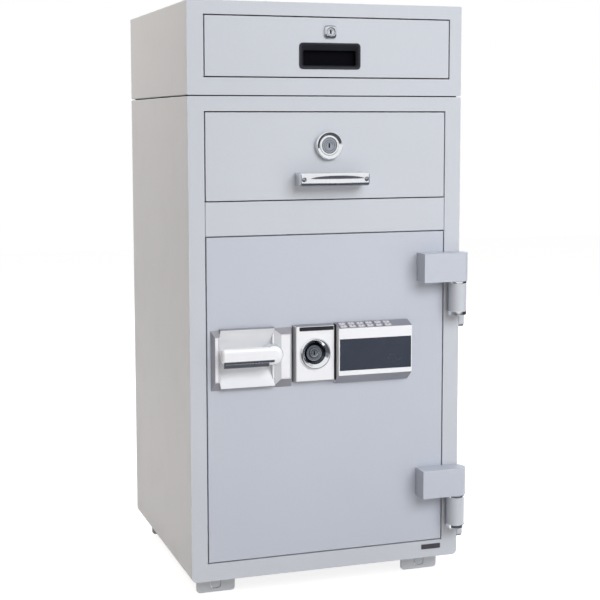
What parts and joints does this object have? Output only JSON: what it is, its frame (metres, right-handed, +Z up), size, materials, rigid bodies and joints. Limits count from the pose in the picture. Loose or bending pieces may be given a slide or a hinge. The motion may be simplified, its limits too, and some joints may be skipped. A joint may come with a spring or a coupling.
{
  "type": "drop safe with deposit drawer",
  "caption": "Floor-standing steel safe with a cash drawer case on top, a lockable deposit drawer over a drop chute, and a hinged door with lever, key lock and keypad.",
  "frame": {"origin": "under the middle of the whole object, on the floor", "axes": "+Z up, the front with the drawers and the door faces -Y, +X is to the right of someone who looks at the front"},
  "size_m": [0.491, 0.482, 0.99],
  "materials": {
    "cabinet_paint": "semi-gloss enamel, cool light grey",
    "inner_paint": "satin enamel, grey",
    "chrome": "polished",
    "satin_metal": "satin, bead-blasted",
    "steel": "turned and brushed",
    "zinc": "zinc plated sheet",
    "black_plastic": "fine-grained",
    "key_plastic": "satin",
    "window_plastic": "smoked, polished"
  },
  "bodies": {
    "base": {"safe_body": "cabinet_paint", "bolt_keeper": "steel", "rail_panel": "cabinet_paint", "till_case": "cabinet_paint", "front_left_foot": "cabinet_paint", "front_right_foot": "cabinet_paint", "rear_left_foot": "cabinet_paint", "rear_right_foot": "cabinet_paint", "drop_chute": "zinc", "till_slide_outer_left": "zinc", "till_slide_outer_right": "zinc", "deposit_slide_outer_left": "zinc", "deposit_slide_outer_right": "zinc", "hinge_knuckle_upper": "cabinet_paint", "hinge_knuckle_lower": "cabinet_paint", "hinge_pin_upper": "steel", "hinge_pin_lower": "steel"},
    "till_drawer": {"till_drawer_front": "cabinet_paint", "till_tray": "inner_paint", "recess_pull": "black_plastic", "till_lock_barrel": "chrome", "till_slide_inner_left": "zinc", "till_slide_inner_right": "zinc"},
    "till_middle_left": {"till_slide_middle_left": "zinc"},
    "till_middle_right": {"till_slide_middle_right": "zinc"},
    "till_plug": {"till_lock_plug": "chrome"},
    "deposit_drawer": {"deposit_drawer_front": "cabinet_paint", "deposit_tray": "inner_paint", "drawer_handle": "chrome", "deposit_lock_barrel": "chrome", "deposit_slide_inner_left": "zinc", "deposit_slide_inner_right": "zinc"},
    "deposit_plug": {"deposit_lock_plug": "chrome"},
    "door": {"door_plate": "cabinet_paint", "door_body": "inner_paint", "hinge_block_upper": "cabinet_paint", "hinge_block_lower": "cabinet_paint", "lever_bezel": "satin_metal", "lock_block": "chrome", "key_barrel": "chrome", "keypad_housing": "satin_metal", "keypad_window": "window_plastic"},
    "lever": {"lever_handle": "chrome"},
    "boltwork": {"lock_bolt_1": "chrome", "lock_bolt_2": "chrome", "lock_bolt_3": "chrome", "bolt_carrier": "steel"},
    "key_cylinder": {"key_plug": "chrome"},
    "key_01": {"keypad_key_01": "key_plastic"},
    "key_02": {"keypad_key_02": "key_plastic"},
    "key_03": {"keypad_key_03": "key_plastic"},
    "key_04": {"keypad_key_04": "key_plastic"},
    "key_05": {"keypad_key_05": "key_plastic"},
    "key_06": {"keypad_key_06": "key_plastic"},
    "key_07": {"keypad_key_07": "key_plastic"},
    "key_08": {"keypad_key_08": "key_plastic"},
    "key_09": {"keypad_key_09": "key_plastic"},
    "key_10": {"keypad_key_10": "key_plastic"},
    "key_11": {"keypad_key_11": "key_plastic"},
    "key_12": {"keypad_key_12": "key_plastic"}
  },
  "joints": [
    {"name": "till_drawer_slide", "type": "slide", "parent": "base", "child": "till_drawer", "axis": [0, -1, 0], "range_m": [0, 0.33]},
    {"name": "till_middle_left_slide", "type": "slide", "parent": "base", "child": "till_middle_left", "axis": [0, -1, 0], "range_m": [0, 0.165]},
    {"name": "till_middle_right_slide", "type": "slide", "parent": "base", "child": "till_middle_right", "axis": [0, -1, 0], "range_m": [0, 0.165]},
    {"name": "till_lock_turn", "type": "hinge", "parent": "till_drawer", "child": "till_plug", "pos_m": [-0.0031, -0.204, 0.943], "axis": [0, -1, 0], "range_deg": [0, 90]},
    {"name": "deposit_drawer_slide", "type": "slide", "parent": "base", "child": "deposit_drawer", "axis": [0, -1, 0], "range_m": [0, 0.18]},
    {"name": "deposit_lock_turn", "type": "hinge", "parent": "deposit_drawer", "child": "deposit_plug", "pos_m": [-0.0062, -0.204, 0.757], "axis": [0, -1, 0], "range_deg": [0, 90]},
    {"name": "door_hinge", "type": "hinge", "parent": "base", "child": "door", "pos_m": [0.2235, -0.2213, 0.34], "axis": [0, 0, 1], "range_deg": [0, 170]},
    {"name": "lever_turn", "type": "hinge", "parent": "door", "child": "lever", "pos_m": [-0.1099, -0.204, 0.415], "axis": [0, 1, 0], "range_deg": [0, 45]},
    {"name": "boltwork_slide", "type": "slide", "parent": "door", "child": "boltwork", "axis": [-1, 0, 0], "range_m": [0, 0.021]},
    {"name": "key_turn", "type": "hinge", "parent": "door", "child": "key_cylinder", "pos_m": [-0.0337, -0.204, 0.4113], "axis": [0, -1, 0], "range_deg": [0, 90]},
    {"name": "key_01_press", "type": "slide", "parent": "door", "child": "key_01", "axis": [0, 0.3586, -0.9335], "range_m": [0, 0.001], "stiffness_N_per_m": 400},
    {"name": "key_02_press", "type": "slide", "parent": "door", "child": "key_02", "axis": [0, 0.3586, -0.9335], "range_m": [0, 0.001], "stiffness_N_per_m": 400},
    {"name": "key_03_press", "type": "slide", "parent": "door", "child": "key_03", "axis": [0, 0.3586, -0.9335], "range_m": [0, 0.001], "stiffness_N_per_m": 400},
    {"name": "key_04_press", "type": "slide", "parent": "door", "child": "key_04", "axis": [0, 0.3586, -0.9335], "range_m": [0, 0.001], "stiffness_N_per_m": 400},
    {"name": "key_05_press", "type": "slide", "parent": "door", "child": "key_05", "axis": [0, 0.3586, -0.9335], "range_m": [0, 0.001], "stiffness_N_per_m": 400},
    {"name": "key_06_press", "type": "slide", "parent": "door", "child": "key_06", "axis": [0, 0.3586, -0.9335], "range_m": [0, 0.001], "stiffness_N_per_m": 400},
    {"name": "key_07_press", "type": "slide", "parent": "door", "child": "key_07", "axis": [0, 0.3586, -0.9335], "range_m": [0, 0.001], "stiffness_N_per_m": 400},
    {"name": "key_08_press", "type": "slide", "parent": "door", "child": "key_08", "axis": [0, 0.3586, -0.9335], "range_m": [0, 0.001], "stiffness_N_per_m": 400},
    {"name": "key_09_press", "type": "slide", "parent": "door", "child": "key_09", "axis": [0, 0.3586, -0.9335], "range_m": [0, 0.001], "stiffness_N_per_m": 400},
    {"name": "key_10_press", "type": "slide", "parent": "door", "child": "key_10", "axis": [0, 0.3586, -0.9335], "range_m": [0, 0.001], "stiffness_N_per_m": 400},
    {"name": "key_11_press", "type": "slide", "parent": "door", "child": "key_11", "axis": [0, 0.3586, -0.9335], "range_m": [0, 0.001], "stiffness_N_per_m": 400},
    {"name": "key_12_press", "type": "slide", "parent": "door", "child": "key_12", "axis": [0, 0.3586, -0.9335], "range_m": [0, 0.001], "stiffness_N_per_m": 400}
  ],
  "couplings": [
    {"joint": "till_middle_left_slide", "follows": "till_drawer_slide", "ratio": 0.5},
    {"joint": "till_middle_right_slide", "follows": "till_drawer_slide", "ratio": 0.5},
    {"joint": "boltwork_slide", "follows": "lever_turn", "m_per_rad": 0.026738}
  ]
}
